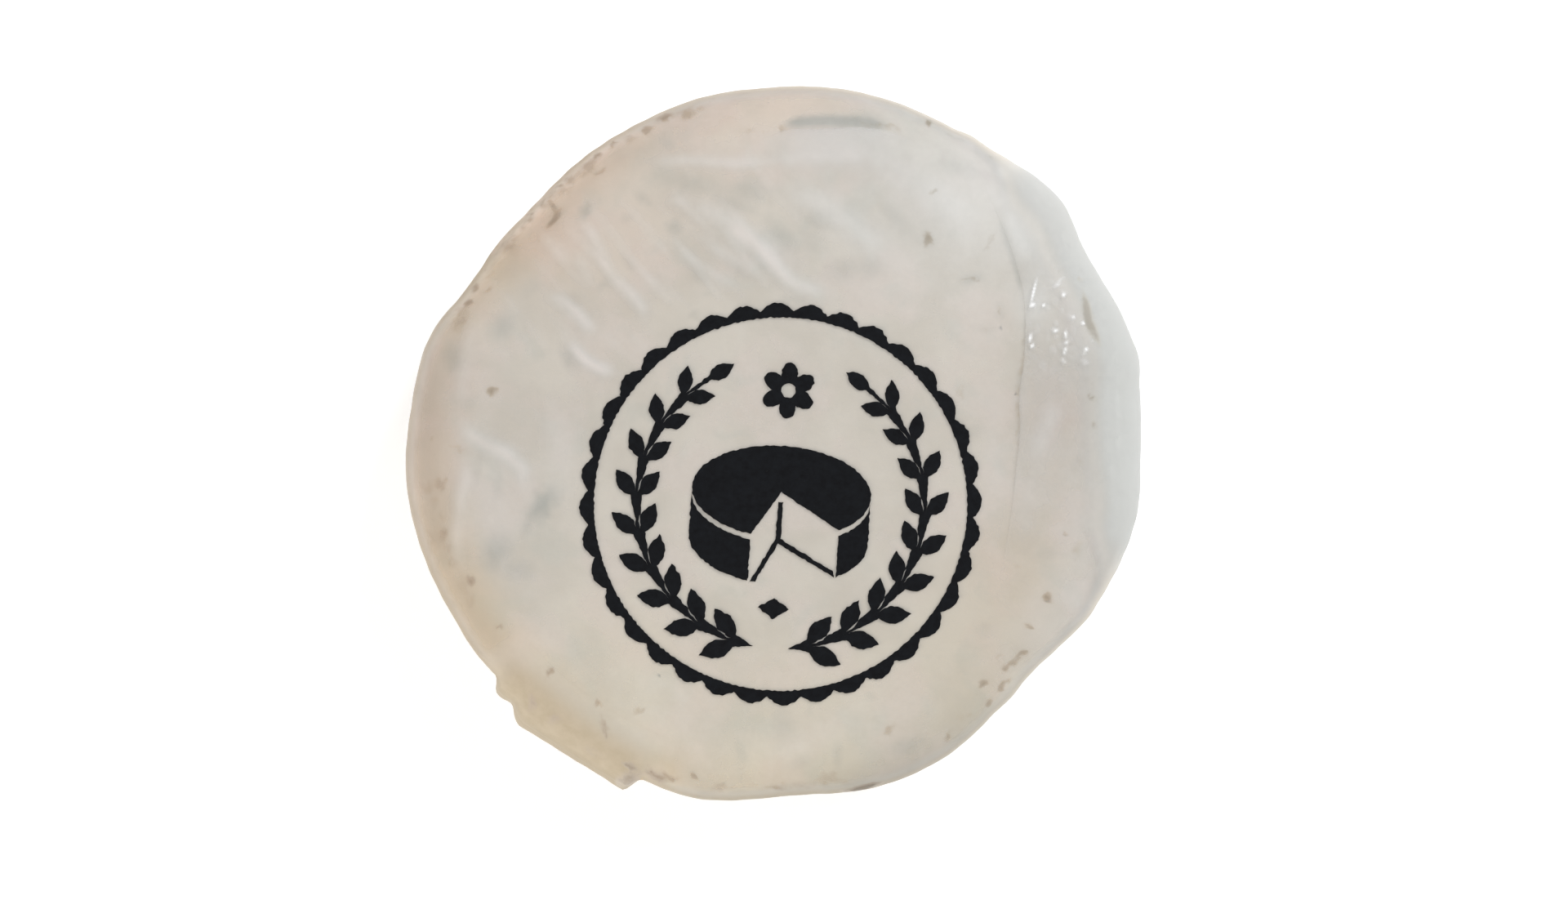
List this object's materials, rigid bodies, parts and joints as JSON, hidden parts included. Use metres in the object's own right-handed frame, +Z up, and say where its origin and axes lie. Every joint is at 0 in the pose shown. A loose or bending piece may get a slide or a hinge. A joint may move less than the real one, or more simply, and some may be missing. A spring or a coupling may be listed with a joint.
{
  "type": "wrapped camembert wheel",
  "caption": "Round soft-ripened cheese shut in a close milky wrap with a printed round seal; lies flat, and is served or sliced once unwrapped.",
  "frame": {"origin": "middle of the footprint's box, on the surface that the wheel rests on", "axes": "+Z up through the printed top, +Y towards the edge that the seal's top points to, +X to the right in the picture"},
  "size_m": [0.1131, 0.1096, 0.0318],
  "materials": {
    "milky_wrap": "thin translucent milky film, satin, over a white bloomy rind with ochre specks",
    "seal_ink": "matte black printing ink"
  },
  "bodies": {
    "root": {"wrapped_wheel": "milky_wrap", "seal_border": "seal_ink", "seal_sprig_left": "seal_ink", "seal_sprig_right": "seal_ink", "seal_wheel_top": "seal_ink", "seal_wheel_side_left": "seal_ink", "seal_wheel_side_right": "seal_ink", "seal_wheel_cut": "seal_ink", "seal_flower": "seal_ink", "seal_diamond": "seal_ink"}
  },
  "joints": []
}
